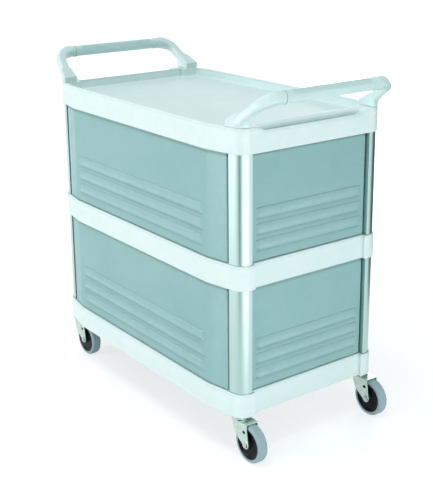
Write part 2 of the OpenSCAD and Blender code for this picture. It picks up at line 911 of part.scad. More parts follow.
// Wheel body: a bore on the sleeve, two dished faces and a rim for the tyre
module caster_wheel(i) {
    r = hub_d / 2;
    w = wheel_w / 2;
    color("#1c1e20") at_caster(i) translate([trail, 0, wheel_r]) rotate([90, 0, 0]) rotate_extrude($fn = 96)
        polygon([
            [sleeve_d / 2 + run_clear, w + wheel_gap - 0.5], [sleeve_d / 2 + 5, w + wheel_gap - 0.5],
            [sleeve_d / 2 + 8, w - 3], [r - 9, w - 3], [r - 5, w - 0.5], [r - 1, w - 0.5], [r - 1, w - 3],
            [r - 5, w - 6], [r - 5, 6 - w], [r - 1, 3 - w],
            [r - 1, 0.5 - w], [r - 5, 0.5 - w], [r - 9, 3 - w], [sleeve_d / 2 + 8, 3 - w],
            [sleeve_d / 2 + 5, 0.5 - w - wheel_gap], [sleeve_d / 2 + run_clear, 0.5 - w - wheel_gap],
        ]);
}

// Tyre with rounded shoulders, keyed into the rim of the wheel body
module caster_tyre(i) {
    r = hub_d / 2;
    w = wheel_w / 2;
    color("lightslategray") at_caster(i) translate([trail, 0, wheel_r]) rotate([90, 0, 0])
        rotate_extrude($fn = 96) {
            translate([r - 5 + seat_clear, 7 - w]) square([5, 2 * w - 14]);
            intersection() {
                translate([r - 1 + seat_clear, -w]) square([wheel_r, 2 * w]);
                translate([wheel_r - w, 0]) round_rect(2 * w, 2 * w, 6);
            }
        }
}

module at_caster(i) {
    translate([corner_signs[i][0] * swivel_x, corner_signs[i][1] * swivel_y, 0]) children();
}

top_shelf();
middle_shelf();
bottom_shelf();
upright_at(0);  // upright_front_right
upright_at(1);  // upright_back_right
upright_at(2);  // upright_front_left
upright_at(3);  // upright_back_left
front_panel(1);  // front_panel_upper
front_panel(0);  // front_panel_lower
end_panel(1, 1);  // right_panel_upper
end_panel(0, 1);  // right_panel_lower
end_panel(1, -1);  // left_panel_upper
end_panel(0, -1);  // left_panel_lower
handle(1);  // handle_right
handle(-1);  // handle_left
grip(1);  // grip_right
grip(-1);  // grip_left
handle_screws();
upright_screws();
caster_stem(0);  // caster_front_right_stem
caster_race(0);  // caster_front_right_race
caster_balls(0);  // caster_front_right_balls
caster_fork(0);  // caster_front_right_fork
caster_axle(0);  // caster_front_right_axle
caster_sleeve(0);  // caster_front_right_sleeve
caster_wheel(0);  // caster_front_right_wheel
caster_tyre(0);  // caster_front_right_tyre
caster_nut(0);  // caster_front_right_nut
caster_stem(1);  // caster_back_right_stem
caster_race(1);  // caster_back_right_race
caster_balls(1);  // caster_back_right_balls
caster_fork(1);  // caster_back_right_fork
caster_axle(1);  // caster_back_right_axle
caster_sleeve(1);  // caster_back_right_sleeve
caster_wheel(1);  // caster_back_right_wheel
caster_tyre(1);  // caster_back_right_tyre
caster_nut(1);  // caster_back_right_nut
caster_stem(2);  // caster_front_left_stem
caster_race(2);  // caster_front_left_race
caster_balls(2);  // caster_front_left_balls
caster_fork(2);  // caster_front_left_fork
caster_axle(2);  // caster_front_left_axle
caster_sleeve(2);  // caster_front_left_sleeve
caster_wheel(2);  // caster_front_left_wheel
caster_tyre(2);  // caster_front_left_tyre
caster_nut(2);  // caster_front_left_nut
caster_stem(3);  // caster_back_left_stem
caster_race(3);  // caster_back_left_race
caster_balls(3);  // caster_back_left_balls
caster_fork(3);  // caster_back_left_fork
caster_axle(3);  // caster_back_left_axle
caster_sleeve(3);  // caster_back_left_sleeve
caster_wheel(3);  // caster_back_left_wheel
caster_tyre(3);  // caster_back_left_tyre
caster_nut(3);  // caster_back_left_nut
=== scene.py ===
# %% [markdown]
# # A three-shelf service cart
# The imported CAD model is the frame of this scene. It holds 55 separate parts at
# their real places, in metres. Here the parts get the soft edges, the grain and
# the finishes that a maker would see on the bench, and nothing changes size.

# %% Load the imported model
import math
import bmesh
import bpy
from mathutils import Matrix, Vector
from mathutils.bvhtree import BVHTree
from mathutils.kdtree import KDTree


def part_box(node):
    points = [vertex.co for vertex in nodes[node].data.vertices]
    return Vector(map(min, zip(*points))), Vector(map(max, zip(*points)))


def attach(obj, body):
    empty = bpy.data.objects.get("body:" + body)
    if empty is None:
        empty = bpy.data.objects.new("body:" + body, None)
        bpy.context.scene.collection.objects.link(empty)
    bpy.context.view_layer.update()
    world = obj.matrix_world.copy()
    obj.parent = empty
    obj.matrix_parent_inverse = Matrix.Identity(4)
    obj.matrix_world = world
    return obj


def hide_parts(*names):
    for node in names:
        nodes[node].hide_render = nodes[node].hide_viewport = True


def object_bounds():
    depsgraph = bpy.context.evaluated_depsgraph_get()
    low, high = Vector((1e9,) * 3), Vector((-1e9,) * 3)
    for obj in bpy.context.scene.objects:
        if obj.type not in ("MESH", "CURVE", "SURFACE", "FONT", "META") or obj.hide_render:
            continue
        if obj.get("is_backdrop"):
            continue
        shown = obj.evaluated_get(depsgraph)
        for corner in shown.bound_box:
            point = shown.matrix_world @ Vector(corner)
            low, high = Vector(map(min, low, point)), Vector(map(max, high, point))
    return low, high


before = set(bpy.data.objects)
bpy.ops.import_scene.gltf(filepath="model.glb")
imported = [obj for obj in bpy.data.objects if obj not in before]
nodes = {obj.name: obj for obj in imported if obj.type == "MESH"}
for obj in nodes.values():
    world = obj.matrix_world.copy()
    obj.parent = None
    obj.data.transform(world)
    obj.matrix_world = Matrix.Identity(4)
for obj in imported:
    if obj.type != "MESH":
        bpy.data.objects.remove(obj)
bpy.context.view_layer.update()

MM = 0.001
CORNERS = ["front_right", "back_right", "front_left", "back_left"]

# %% [markdown]
# ## Camera
# The camera stands where the photographer stood: right of the cart, a little
# above its top, with a long lens. A slight downward shift keeps the uprights
# as parallel as the picture shows them.

# %% Camera
PHOTO_H = 500
FOCAL_PIXELS = 1025.2
SENSOR_MM = 36.0
CAMERA_PLACE = (2.3094, -1.6722, 1.3807)
YAW, PITCH, ROLL = (math.radians(a) for a in (53.70, 16.16, -0.49))
camera_data = bpy.data.cameras.new("camera")
camera_data.sensor_width = SENSOR_MM
camera_data.lens = SENSOR_MM * FOCAL_PIXELS / PHOTO_H
camera_data.shift_y = -0.10
camera = bpy.data.objects.new("camera", camera_data)
bpy.context.scene.collection.objects.link(camera)
bpy.context.scene.camera = camera
ahead = Vector((-math.sin(YAW) * math.cos(PITCH),
                math.cos(YAW) * math.cos(PITCH), -math.sin(PITCH)))
level = Vector((math.cos(YAW), math.sin(YAW), 0))
above = level.cross(ahead)
right = math.cos(ROLL) * level + math.sin(ROLL) * above
up = math.cos(ROLL) * above - math.sin(ROLL) * level
turn = Matrix((right, up, -ahead)).transposed().to_4x4()
camera.matrix_world = Matrix.Translation(CAMERA_PLACE) @ turn
bpy.context.scene.view_settings.view_transform = "Standard"
print("lens in mm:", round(camera_data.lens, 2))

# %% [markdown]
# ## Helpers for objects and nodes
# Materials, the world and Geometry Nodes are all trees of nodes. Three helpers
# write them in short lines: step adds any node with its inputs, calc adds a math
# node, and maths gives a tree's four basic sums short names.

# %% Helpers for objects and nodes
def mesh_object(name, mesh):
    made = bpy.data.objects.new(name, mesh)
    bpy.context.scene.collection.objects.link(made)
    return made


def step(tree, kind, values=(), **settings):
    """Adds one node; values gives {input label or number: socket or value}."""
    made = tree.nodes.new(kind)
    for label, value in settings.items():
        setattr(made, label, value)
    for label, value in dict(values).items():
        if isinstance(value, bpy.types.NodeSocket):
            tree.links.new(value, made.inputs[label])
        else:
            made.inputs[label].default_value = value
    return made


def calc(tree, kind, a, b=None, clamp=False):
    """One math node; a and b are sockets or numbers."""
    values = {0: a} if b is None else {0: a, 1: b}
    return step(tree, "ShaderNodeMath", values, operation=kind, use_clamp=clamp).outputs[0]


def maths(tree):
    """Short names for a tree's math nodes: plus, minus, times, over."""
    def named(kind):
        return lambda a, b, clamp=False: calc(tree, kind, a, b, clamp)
    return named("ADD"), named("SUBTRACT"), named("MULTIPLY"), named("DIVIDE")


# %% [markdown]
# ## Floor
# A studio has a pale floor that runs into a pale wall. Rays that go straight to
# the eye, or that mirror in metal, meet a floor that is nearly white by itself,
# so the shadow stays and the picture's edges are still white. Rays that only
# carry light meet a plain pale floor, which keeps the light on the cart honest.

# %% Floor
FLOOR_HALF = 20
GLOW_NEAR, GLOW_FAR = 0.66, 0.90
GLOW_FROM, GLOW_TO = 0.7, 2.6


def seen_directly(tree):
    """1 for camera, mirror and see-through rays, and 0 for rays that only carry light."""
    path = step(tree, "ShaderNodeLightPath").outputs
    total = path["Is Camera Ray"]
    for label in ("Is Glossy Ray", "Is Transmission Ray"):
        total = calc(tree, "MAXIMUM", total, path[label])
    return total


corners = [(x * FLOOR_HALF, y * FLOOR_HALF, 0) for x, y in ((-1, -1), (1, -1), (1, 1), (-1, 1))]
floor_mesh = bpy.data.meshes.new("floor")
floor_mesh.from_pydata(corners, [], [(0, 1, 2, 3)])
floor = mesh_object("floor", floor_mesh)
floor_paint = bpy.data.materials.new("floor_paint")
floor_paint.use_nodes = True
tree = floor_paint.node_tree
tree.nodes.clear()
matt = step(tree, "ShaderNodeBsdfDiffuse", {"Color": (0.80, 0.81, 0.81, 1)})
pale = step(tree, "ShaderNodeBsdfDiffuse", {"Color": (0.50, 0.50, 0.50, 1)})
middle = step(tree, "ShaderNodeTexCoord").outputs["Object"]
away = step(tree, "ShaderNodeVectorMath", {0: middle}, operation="LENGTH").outputs["Value"]
ring = step(tree, "ShaderNodeMapRange", {
    "Value": away, "From Min": GLOW_FROM, "From Max": GLOW_TO,
    "To Min": GLOW_NEAR, "To Max": GLOW_FAR}, interpolation_type="SMOOTHSTEP")
glow = step(tree, "ShaderNodeEmission", {
    "Color": (1, 1, 1, 1), "Strength": ring.outputs["Result"]})
both = step(tree, "ShaderNodeAddShader", {0: pale.outputs[0], 1: glow.outputs[0]})
mix = step(tree, "ShaderNodeMixShader", {
    0: seen_directly(tree), 1: matt.outputs[0], 2: both.outputs[0]})
step(tree, "ShaderNodeOutputMaterial", {"Surface": mix.outputs[0]})
floor_mesh.materials.append(floor_paint)
floor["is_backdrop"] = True
print("floor in metres:", 2 * FLOOR_HALF)

# %% [markdown]
# ## World and lamps
# The world gives an even, slightly cool light, and lamps model the faces: a far
# one on the left for the long side, a low one for the end, a weak one from above
# for the tray, and one behind the cart for the sides that the camera doesn't
# see. Large lamps at a distance keep every shadow soft.

# %% World and lamps
world = bpy.data.worlds.new("studio")
bpy.context.scene.world = world
world.use_nodes = True
tree = world.node_tree
tree.nodes.clear()
dim = step(tree, "ShaderNodeBackground", {"Color": (0.82, 1.0, 1.0, 1), "Strength": 0.44})
white = step(tree, "ShaderNodeBackground", {"Color": (1, 1, 1, 1), "Strength": 1.0})
mix = step(tree, "ShaderNodeMixShader", {
    0: seen_directly(tree), 1: dim.outputs[0], 2: white.outputs[0]})
step(tree, "ShaderNodeOutputWorld", {"Surface": mix.outputs[0]})

# name, place, point that it faces, width and height in metres, watts
LAMPS = [
    ("long_side_lamp", (-2.4, -6.4, 1.3), (0, 0, 0.40), (2.4, 2.0), 192),
    ("end_lamp", (2.5, -0.35, 0.30), (0.4, 0, 0.30), (1.1, 0.5), 19),
    ("back_fill_lamp", (-2.6, 4.8, 1.7), (0, 0, 0.45), (2.6, 2.0), 95),
    ("top_lamp", (0.2, -0.9, 4.1), (0, 0, 0.8), (2.2, 1.6), 47),
]
for name, place, aim, size, watts in LAMPS:
    data = bpy.data.lights.new(name, "AREA")
    data.shape = "RECTANGLE"
    data.size, data.size_y = size
    data.energy = watts
    lamp = bpy.data.objects.new(name, data)
    bpy.context.scene.collection.objects.link(lamp)
    facing = (Vector(place) - Vector(aim)).to_track_quat("Z", "Y").to_matrix().to_4x4()
    lamp.matrix_world = Matrix.Translation(place) @ facing
    lamp.visible_camera = False
print("lamps:", [lamp[0] for lamp in LAMPS])

# %% [markdown]
# ## Cards for the metal
# Bare metal has no colour of its own: it shows its surroundings. A photographer
# stands cards beside it, so that an upright gets a dark strip next to its pale
# streak. Here two dark cards and a bright one do the same. Only mirror rays meet
# them, so they throw no shadow and change no other light.

# %% Cards for the metal
CARD_DARK, CARD_WHITE = (0.09, 0.10, 0.10, 1), (0.8, 0.8, 0.8, 1)
# name, colour, glow, middle of its foot, way that it faces, width, height
CARDS = [
    ("card_on_the_open_side", CARD_DARK, 0.0, (0.42, 1.10, 0), (0.0, 1.0), 1.25, 1.4),
    ("card_before_the_side", CARD_DARK, 0.0, (1.02, -1.17, 0), (0.5, -0.866), 0.44, 1.6),
    ("card_before_the_corner", CARD_WHITE, 1.2, (1.265, -0.311, 0), (0.9936, -0.113), 0.72, 1.2),
]
for name, colour, glow, foot_middle, faces, width, height in CARDS:
    across = Vector((-faces[1], faces[0], 0)).normalized() * width / 2
    foot, rise = Vector(foot_middle), Vector((0, 0, height))
    mesh = bpy.data.meshes.new(name)
    mesh.from_pydata([foot - across, foot + across, foot + across + rise,
                      foot - across + rise], [], [(0, 1, 2, 3)])
    paint = bpy.data.materials.new(name + "_paint")
    paint.use_nodes = True
    shader = paint.node_tree.nodes["Principled BSDF"]
    shader.inputs["Base Color"].default_value = colour
    shader.inputs["Roughness"].default_value = 0.9
    shader.inputs["Emission Color"].default_value = (1, 1, 1, 1)
    shader.inputs["Emission Strength"].default_value = glow
    mesh.materials.append(paint)
    card = mesh_object(name, mesh)
    for ray in ("camera", "diffuse", "transmission", "volume_scatter", "shadow"):
        setattr(card, "visible_" + ray, False)
    card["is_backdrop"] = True
print("cards:", [card[0] for card in CARDS])

# %% [markdown]
# ## Effects that several finishes share
# Each effect is a node group with its own sizes, built once. A group puts out
# only masks and heights, and every material decides what to do with them.

# %% Helpers for node groups
def effect(name, inputs, outputs):
    """A shader group with number inputs, given as {label: value}, and number outputs."""
    made = bpy.data.node_groups.new(name, "ShaderNodeTree")
    socket = made.interface.new_socket
    number = "NodeSocketFloat"
    for label, value in inputs.items():
        socket(name=label, in_out="INPUT", socket_type=number).default_value = value
    for label in outputs:
        socket(name=label, in_out="OUTPUT", socket_type=number)
    return made, made.nodes.new("NodeGroupInput").outputs, made.nodes.new("NodeGroupOutput").inputs


def spread(tree, value, low, high, to_low=0.0, to_high=1.0):
    """Stretches the part of a value between low and high to a new range."""
    return step(tree, "ShaderNodeMapRange", {
        "Value": value, "From Min": low, "From Max": high,
        "To Min": to_low, "To Max": to_high}).outputs["Result"]


def on_object(tree, stretch=(1, 1, 1)):
    """Object coordinates, stretched along their axes."""
    place = step(tree, "ShaderNodeTexCoord").outputs["Object"]
    return step(tree, "ShaderNodeMapping", {"Vector": place, "Scale": stretch}).outputs["Vector"]


def cloud(tree, place, scale, detail=3.0, rough=0.5, twist=0.0):
    """A noise texture's value; scale is a number or a socket, in waves for each metre."""
    return step(tree, "ShaderNodeTexNoise", {
        "Vector": place, "Scale": scale, "Detail": detail,
        "Roughness": rough, "Distortion": twist}).outputs["Fac"]


# %% [markdown]
# ### Pebbled skin
# A steel mould is etched, so the plastic comes out with a fine pebbled skin.
# Soft cells make the pebbles, a slow noise the clouding of the colour, and a
# twisted noise the swirls where the melt flowed.

# %% Pebbled skin of a moulding
pebbles, given, result = effect(
    "moulded_skin", {"Pebbles": 420.0, "Clouds": 7.0}, ["Height", "Clouding", "Swirl"])
plus, minus, times, over = maths(pebbles)
place = on_object(pebbles)
cells = step(pebbles, "ShaderNodeTexVoronoi", {
    "Vector": place, "Scale": given["Pebbles"], "Smoothness": 0.6}, feature="SMOOTH_F1")
fine = cloud(pebbles, place, times(given["Pebbles"], 3.1), 2.0)
height = plus(times(cells.outputs["Distance"], 0.75), times(fine, 0.35))
clouding = spread(pebbles, cloud(pebbles, place, given["Clouds"], 4.0, 0.55), 0.32, 0.68)
flow = cloud(pebbles, on_object(pebbles, (1.0, 1.0, 2.2)), 16.0, 5.0, 0.6, 1.6)
pebbles.links.new(height, result["Height"])
pebbles.links.new(clouding, result["Clouding"])
pebbles.links.new(spread(pebbles, flow, 0.42, 0.62), result["Swirl"])
print("built:", pebbles.name)

# %% [markdown]
# ### Drawn lines
# An upright is drawn through a die, which leaves hair-fine lines along it. Noise
# that is stretched a few hundred times along one axis gives the same lines.

# %% Lines that drawing leaves in metal
drawn, given, result = effect("drawn_lines", {"Lines": 900.0}, ["Height", "Streak"])
plus, minus, times, over = maths(drawn)
thin = cloud(drawn, on_object(drawn, (1, 1, 0.004)), given["Lines"], 3.0, 0.65)
wide = cloud(drawn, on_object(drawn, (1, 1, 0.01)), times(given["Lines"], 0.16), 2.0)
streak = plus(times(thin, 0.6), times(wide, 0.4))
drawn.links.new(thin, result["Height"])
drawn.links.new(spread(drawn, streak, 0.35, 0.65), result["Streak"])
print("built:", drawn.name)

# %% [markdown]
# ### Plated patches
# A zinc coat shows small patches of slightly different grey. Cells with a random
# tone, mixed with a soft noise, give that without a hard pattern.

# %% Patches of plated steel
plated, given, result = effect("plated_patches", {"Patches": 260.0}, ["Patch", "Height"])
plus, minus, times, over = maths(plated)
place = on_object(plated)
cells = step(plated, "ShaderNodeTexVoronoi", {"Vector": place, "Scale": given["Patches"]})
tone = step(plated, "ShaderNodeSeparateColor", {"Color": cells.outputs["Color"]}).outputs[0]
grey = plus(times(tone, 0.5), times(cloud(plated, place, 60.0, 4.0), 0.5))
plated.links.new(spread(plated, grey, 0.25, 0.75), result["Patch"])
plated.links.new(cloud(plated, place, 1400.0, 2.0), result["Height"])
print("built:", plated.name)

# %% [markdown]
# ### Painted edge highlight
# A paler tone is painted on edges that stand out, as a painted highlight where a
# rounded edge catches the light. Pointiness is a value that the renderer knows
# for each corner of a mesh: above one half the surface bends outwards. Noise
# breaks the line up.

# %% Painted highlight on edges that bend outwards
FLAT = 0.505
edge_highlight, given, result = effect("painted_edge_highlight", {"Sharpest": 0.56, "Breaks": 45.0}, ["Wear"])
plus, minus, times, over = maths(edge_highlight)
bend = step(edge_highlight, "ShaderNodeNewGeometry").outputs["Pointiness"]
edge = over(minus(bend, FLAT), minus(given["Sharpest"], FLAT), True)
breaks = cloud(edge_highlight, on_object(edge_highlight), given["Breaks"], 4.0, 0.6)
breaks = spread(edge_highlight, breaks, 0.30, 0.60, 0.45, 1.0)
edge_highlight.links.new(times(edge, breaks, True), result["Wear"])
print("built:", edge_highlight.name)

# %% [markdown]
# ### Painted shade
# A darker tone is painted where shade falls: in the gap beside an upright, under a
# band and below a bead. The Ambient Occlusion node looks from each point for
# nearby surfaces. Its direction is tilted upwards, so that it counts what hangs
# over a point and not the ledge below it. "Below" paints shade on what faces down.

# %% Painted shade in gaps, below what overhangs and on what faces down
crevice_shade, given, result = effect(
    "painted_crevice_shade", {"Reach": 0.012, "Depth": 0.8, "Below": 0.0}, ["Grime"])
plus, minus, times, over = maths(crevice_shade)
normal = step(crevice_shade, "ShaderNodeNewGeometry").outputs["Normal"]
leaning = step(crevice_shade, "ShaderNodeVectorMath", {0: normal, 1: (0, 0, 1.8)}).outputs["Vector"]
shut_in = step(crevice_shade, "ShaderNodeAmbientOcclusion", {
    "Distance": given["Reach"], "Normal": leaning}, samples=6)
closed = spread(crevice_shade, shut_in.outputs["AO"], 0.25, 0.92, 1.0, 0.0)
upward = step(crevice_shade, "ShaderNodeSeparateXYZ", {0: normal}).outputs["Z"]
not_up = spread(crevice_shade, upward, 0.25, 0.65, 1.0, 0.0)
below = times(spread(crevice_shade, upward, -0.75, -0.08, 1.0, 0.0), given["Below"])
in_gaps = times(calc(crevice_shade, "POWER", closed, 1.4), times(not_up, given["Depth"]))
crevice_shade.links.new(calc(crevice_shade, "MAXIMUM", in_gaps, below, True), result["Grime"])
print("built:", crevice_shade.name)

# %% [markdown]
# ### Dust and painted top light
# What faces upwards gets a paler tone: faint dust on shelves, handles and tyres,
# and on the panels a painted top light on the bead ledges. The upward part of the
# surface's direction is the mask, and a noise makes it patchy.

# %% Paler tone on what faces upwards: dust, and painted top light
dust_top_light, given, result = effect("dust_and_painted_top_light", {"Amount": 0.3, "Grains": 30.0}, ["Dust"])
plus, minus, times, over = maths(dust_top_light)
normal = step(dust_top_light, "ShaderNodeNewGeometry").outputs["Normal"]
upward = step(dust_top_light, "ShaderNodeSeparateXYZ", {0: normal}).outputs["Z"]
upward = spread(dust_top_light, upward, 0.2, 0.95)
patchy = cloud(dust_top_light, on_object(dust_top_light), given["Grains"], 6.0, 0.7)
patchy = spread(dust_top_light, patchy, 0.35, 0.75)
dust_top_light.links.new(times(times(upward, patchy), given["Amount"], True), result["Dust"])
print("effects:", [g.name for g in bpy.data.node_groups])

# %% [markdown]
# ## Finishes
# The shelves are structural foam with a fine pebbled skin and faint flow marks,
# the panels and handles are smoother blow and injection mouldings, the uprights
# are drawn aluminium, and the casters mix zinc-plated steel, black plastic and
# grey rubber. Colours are typed as they look on a screen and turned into light.

# %% Helpers for materials
FINISHES = {}  # each material by the name of its slot


def light(red, green, blue):
    """A screen colour, 0 to 255, as linear light."""
    shares = (c / 255 for c in (red, green, blue))
    return tuple(s / 12.92 if s <= 0.04 else ((s + 0.055) / 1.055) ** 2.4 for s in shares) + (1.0,)


def blend_of(tree, amount, first, second):
    """Mixes two colours by a mask."""
    return step(tree, "ShaderNodeMix", {"Factor": amount, 6: first, 7: second},
                data_type="RGBA").outputs[2]


def place_effect(tree, group, **sizes):
    return step(tree, "ShaderNodeGroup", sizes, node_tree=group).outputs


def finish(slot, roughness, metallic=0.0, specular=0.5, sheen=0.0):
    """A slot's tree and shader; what is the same all over is set on the shader itself."""
    made = FINISHES[slot] = bpy.data.materials.new(slot)
    made.use_nodes = True
    shader = made.node_tree.nodes["Principled BSDF"]
    shader.inputs["Roughness"].default_value = roughness
    shader.inputs["Metallic"].default_value = metallic
    shader.inputs["Specular IOR Level"].default_value = specular
    shader.inputs["Sheen Weight"].default_value = sheen
    return made.node_tree, shader


def relief(tree, shader, height, depth_mm, strength):
    bump = step(tree, "ShaderNodeBump", {
        "Strength": strength, "Distance": depth_mm * MM, "Height": height})
    tree.links.new(bump.outputs["Normal"], shader.inputs["Normal"])


# %% [markdown]
# ### Moulded plastics
# All plastics of the cart come from one recipe: two tones that cloud into each
# other, a third for flow marks, then a painted highlight on convex edges, painted
# shade in gaps and under overhangs, and dust on top, which on the panels is a
# painted top light. Each plastic has its own tones and grain, so shelf, panel and
# hub look different.

# %% Moulded plastics
# Pale tone of dust, which on the panels is a painted top light.
DUST_AND_TOP_LIGHT_TONE = (196, 212, 211)


def moulding(slot, pale, deep, flow, flow_share, roughness, grain, depth_mm, edge,
             dust_top_light_amount=0.0, specular=0.5, painted_shade=None, reach_mm=12, below=0.0):
    """Plastic with a pebbled skin, soft clouding, flow marks, a painted edge highlight, painted
    shade, and dust that is a painted top light where it is strong.
    """
    tree, shader = finish(slot, roughness, specular=specular)
    skin = place_effect(tree, pebbles, Pebbles=grain)
    colour = blend_of(tree, skin["Clouding"], light(*pale), light(*deep))
    marks = calc(tree, "MULTIPLY", skin["Swirl"], flow_share)
    colour = blend_of(tree, marks, colour, light(*flow))
    # Painted highlight: the edge tone on edges that bend outwards.
    colour = blend_of(tree, place_effect(tree, edge_highlight)["Wear"], colour, light(*edge))
    # Painted shade: a darker tone in gaps, under overhangs and on what faces down.
    if painted_shade:
        painted_shade_mask = place_effect(tree, crevice_shade, Reach=reach_mm * MM, Below=below)["Grime"]
        colour = blend_of(tree, painted_shade_mask, colour, light(*painted_shade))
    # Dust, and on the panels a painted top light on the bead ledges.
    if dust_top_light_amount:
        dust_top_light_mask = place_effect(tree, dust_top_light, Amount=dust_top_light_amount)["Dust"]
        colour = blend_of(tree, dust_top_light_mask, colour, light(*DUST_AND_TOP_LIGHT_TONE))
    tree.links.new(colour, shader.inputs["Base Color"])
    gloss = spread(tree, skin["Clouding"], 0, 1, roughness - 0.05, roughness + 0.07)
    tree.links.new(gloss, shader.inputs["Roughness"])
    relief(tree, shader, skin["Height"], depth_mm, 0.35)


# In each moulding the edge tone is a painted highlight, the dark tone for gaps and undersides is
# painted shade, and the panels' strong dust is a painted top light.
moulding(
    "shelf_foam", (228, 242, 242), (223, 239, 239), (216, 235, 235), flow_share=0.30,
    roughness=0.46, grain=420, depth_mm=0.25, dust_top_light_amount=0.06, edge=(240, 249, 249),
    painted_shade=(128, 160, 160), reach_mm=9)
moulding(
    "handle_plastic", (220, 239, 238), (211, 233, 232), (225, 241, 240), flow_share=0.30,
    roughness=0.38, grain=640, depth_mm=0.16, dust_top_light_amount=0.04, edge=(236, 248, 248),
    painted_shade=(140, 178, 180), reach_mm=18)
moulding(
    "grip_plastic", (213, 236, 236), (203, 229, 229), (219, 238, 238), flow_share=0.25,
    roughness=0.44, grain=800, depth_mm=0.14, edge=(226, 243, 243),
    painted_shade=(104, 146, 150), reach_mm=2.5)
moulding(
    "panel_plastic", (145, 185, 186), (139, 180, 181), (149, 188, 189), flow_share=0.30,
    roughness=0.42, grain=560, depth_mm=0.20, dust_top_light_amount=0.70, edge=(190, 217, 217),
    painted_shade=(46, 78, 82), reach_mm=10, below=0.42)
moulding(
    "hub_plastic", (6, 13, 15), (4, 10, 12), (10, 19, 21), flow_share=0.30,
    roughness=0.24, grain=700, depth_mm=0.05, edge=(34, 48, 50), specular=0.09)
print("plastics:", list(FINISHES))

# %% [markdown]
# ### Metals
# Metals differ in tone, gloss and in the marks of how they were made: drawn
# lines on the uprights, patches on what is plated. The mask of the marks moves
# both the tone and the roughness a little.

# %% Metals
def metal(slot, pale, deep, roughness, lines=0.0, patches=0.0, depth_mm=0.03):
    """Drawn or plated metal; lines or patches gives the waves of its marks for each metre."""
    tree, shader = finish(slot, roughness, metallic=1.0)
    if lines:
        marks = place_effect(tree, drawn, Lines=lines)
        mask = marks["Streak"]
    else:
        marks = place_effect(tree, plated, Patches=patches)
        mask = marks["Patch"]
    tone = blend_of(tree, mask, light(*pale), light(*deep))
    gloss = spread(tree, mask, 0, 1, roughness - 0.05, roughness + 0.06)
    tree.links.new(tone, shader.inputs["Base Color"])
    tree.links.new(gloss, shader.inputs["Roughness"])
    relief(tree, shader, marks["Height"], depth_mm, 0.25)


metal("upright_aluminium", (187, 211, 208), (173, 201, 197), 0.33, lines=900.0)
metal("fork_zinc", (206, 222, 212), (176, 200, 190), 0.33, patches=300.0)
metal("race_zinc", (196, 210, 203), (166, 186, 180), 0.30, patches=420.0)
metal("screw_steel", (198, 204, 204), (160, 168, 170), 0.28, patches=900.0)
metal("stem_steel", (190, 196, 197), (158, 166, 168), 0.30, patches=700.0)
metal("ball_steel", (222, 226, 228), (202, 208, 210), 0.10, patches=900.0, depth_mm=0.005)
metal("axle_steel", (206, 213, 213), (170, 180, 181), 0.27, patches=800.0)
print("plastics and metals:", len(FINISHES))

# %% [markdown]
# ### Rubber
# The tyres are soft grey rubber that marks no floor: matt, with a faint sheen at
# grazing angles and dust on the tread.

# %% Rubber
tree, shader = finish("tyre_rubber", 0.62, specular=0.35, sheen=0.08)
skin = place_effect(tree, pebbles, Pebbles=900.0, Clouds=26.0)
rubber = blend_of(tree, skin["Clouding"], light(156, 178, 186), light(143, 165, 174))
dusty = place_effect(tree, dust_top_light, Amount=0.35, Grains=90.0)["Dust"]
rubber = blend_of(tree, dusty, rubber, light(178, 188, 192))
tree.links.new(rubber, shader.inputs["Base Color"])
gloss = spread(tree, skin["Clouding"], 0, 1, 0.56, 0.68)
tree.links.new(gloss, shader.inputs["Roughness"])
relief(tree, shader, skin["Height"], 0.12, 0.3)
print("finishes:", list(FINISHES))

# %% [markdown]
# ## Soft edges
# CAD corners are perfectly sharp, and a moulding's are not: the tool leaves a
# radius of one to three millimetres, which shows as a thin line of light. A
# copy of the part is welded, its flat areas are joined into whole faces, and
# the chosen edges are bevelled. Where a bevel has no room, at a very short or
# thin face, it flies off or folds over. Such corners are found by comparing the
# result with the CAD surface, and their edges stay sharp. The CAD part itself
# stays behind for physics.

# %% Welded copies
SAME_POINT = 0.003 * MM
TOO_SHORT = 0.002 * MM
FLAT_ANGLE = math.radians(0.3)


def welded(node):
    """A bmesh of a CAD part with its triangles joined and cut anew, and its surface for rays."""
    made = bmesh.new()
    made.from_mesh(nodes[node].data)
    bmesh.ops.remove_doubles(made, verts=made.verts, dist=SAME_POINT)
    bmesh.ops.dissolve_degenerate(made, edges=made.edges, dist=TOO_SHORT)
    surface = BVHTree.FromBMesh(made)
    bmesh.ops.dissolve_limit(made, angle_limit=FLAT_ANGLE, verts=made.verts, edges=made.edges)
    bmesh.ops.triangulate(made, faces=made.faces)
    return made, surface


# %% Edges to round
OFF_SURFACE = 0.4 * MM
FAR = 3.0


def corner_edges(made, degrees, surface, seen_from=()):
    """Edges that bend more than so many degrees and, with directions given, show from one."""
    found = []
    for edge in made.edges:
        if len(edge.link_faces) != 2 or edge.calc_face_angle(0) < math.radians(degrees):
            continue
        outwards = edge.link_faces[0].normal + edge.link_faces[1].normal
        middle = (edge.verts[0].co + edge.verts[1].co) / 2
        start = middle + outwards.normalized() * OFF_SURFACE
        if not seen_from or any(surface.ray_cast(start, Vector(way), FAR)[0] is None
                                for way in seen_from):
            found.append(edge)
    return found


# %% Corners where a bevel goes wrong
FOLD_MIN = 1e-8
TURNED_OVER = -0.3
OFF_SHARE, BESIDE_SHARE = 0.6, 2.5


def folded_faces(mesh, surface):
    """Faces that a bevel has turned over: they look against the CAD surface at their place."""
    return [face for face in mesh.polygons if face.area > FOLD_MIN
            and face.normal.dot(surface.find_nearest(face.center)[1]) < TURNED_OVER]


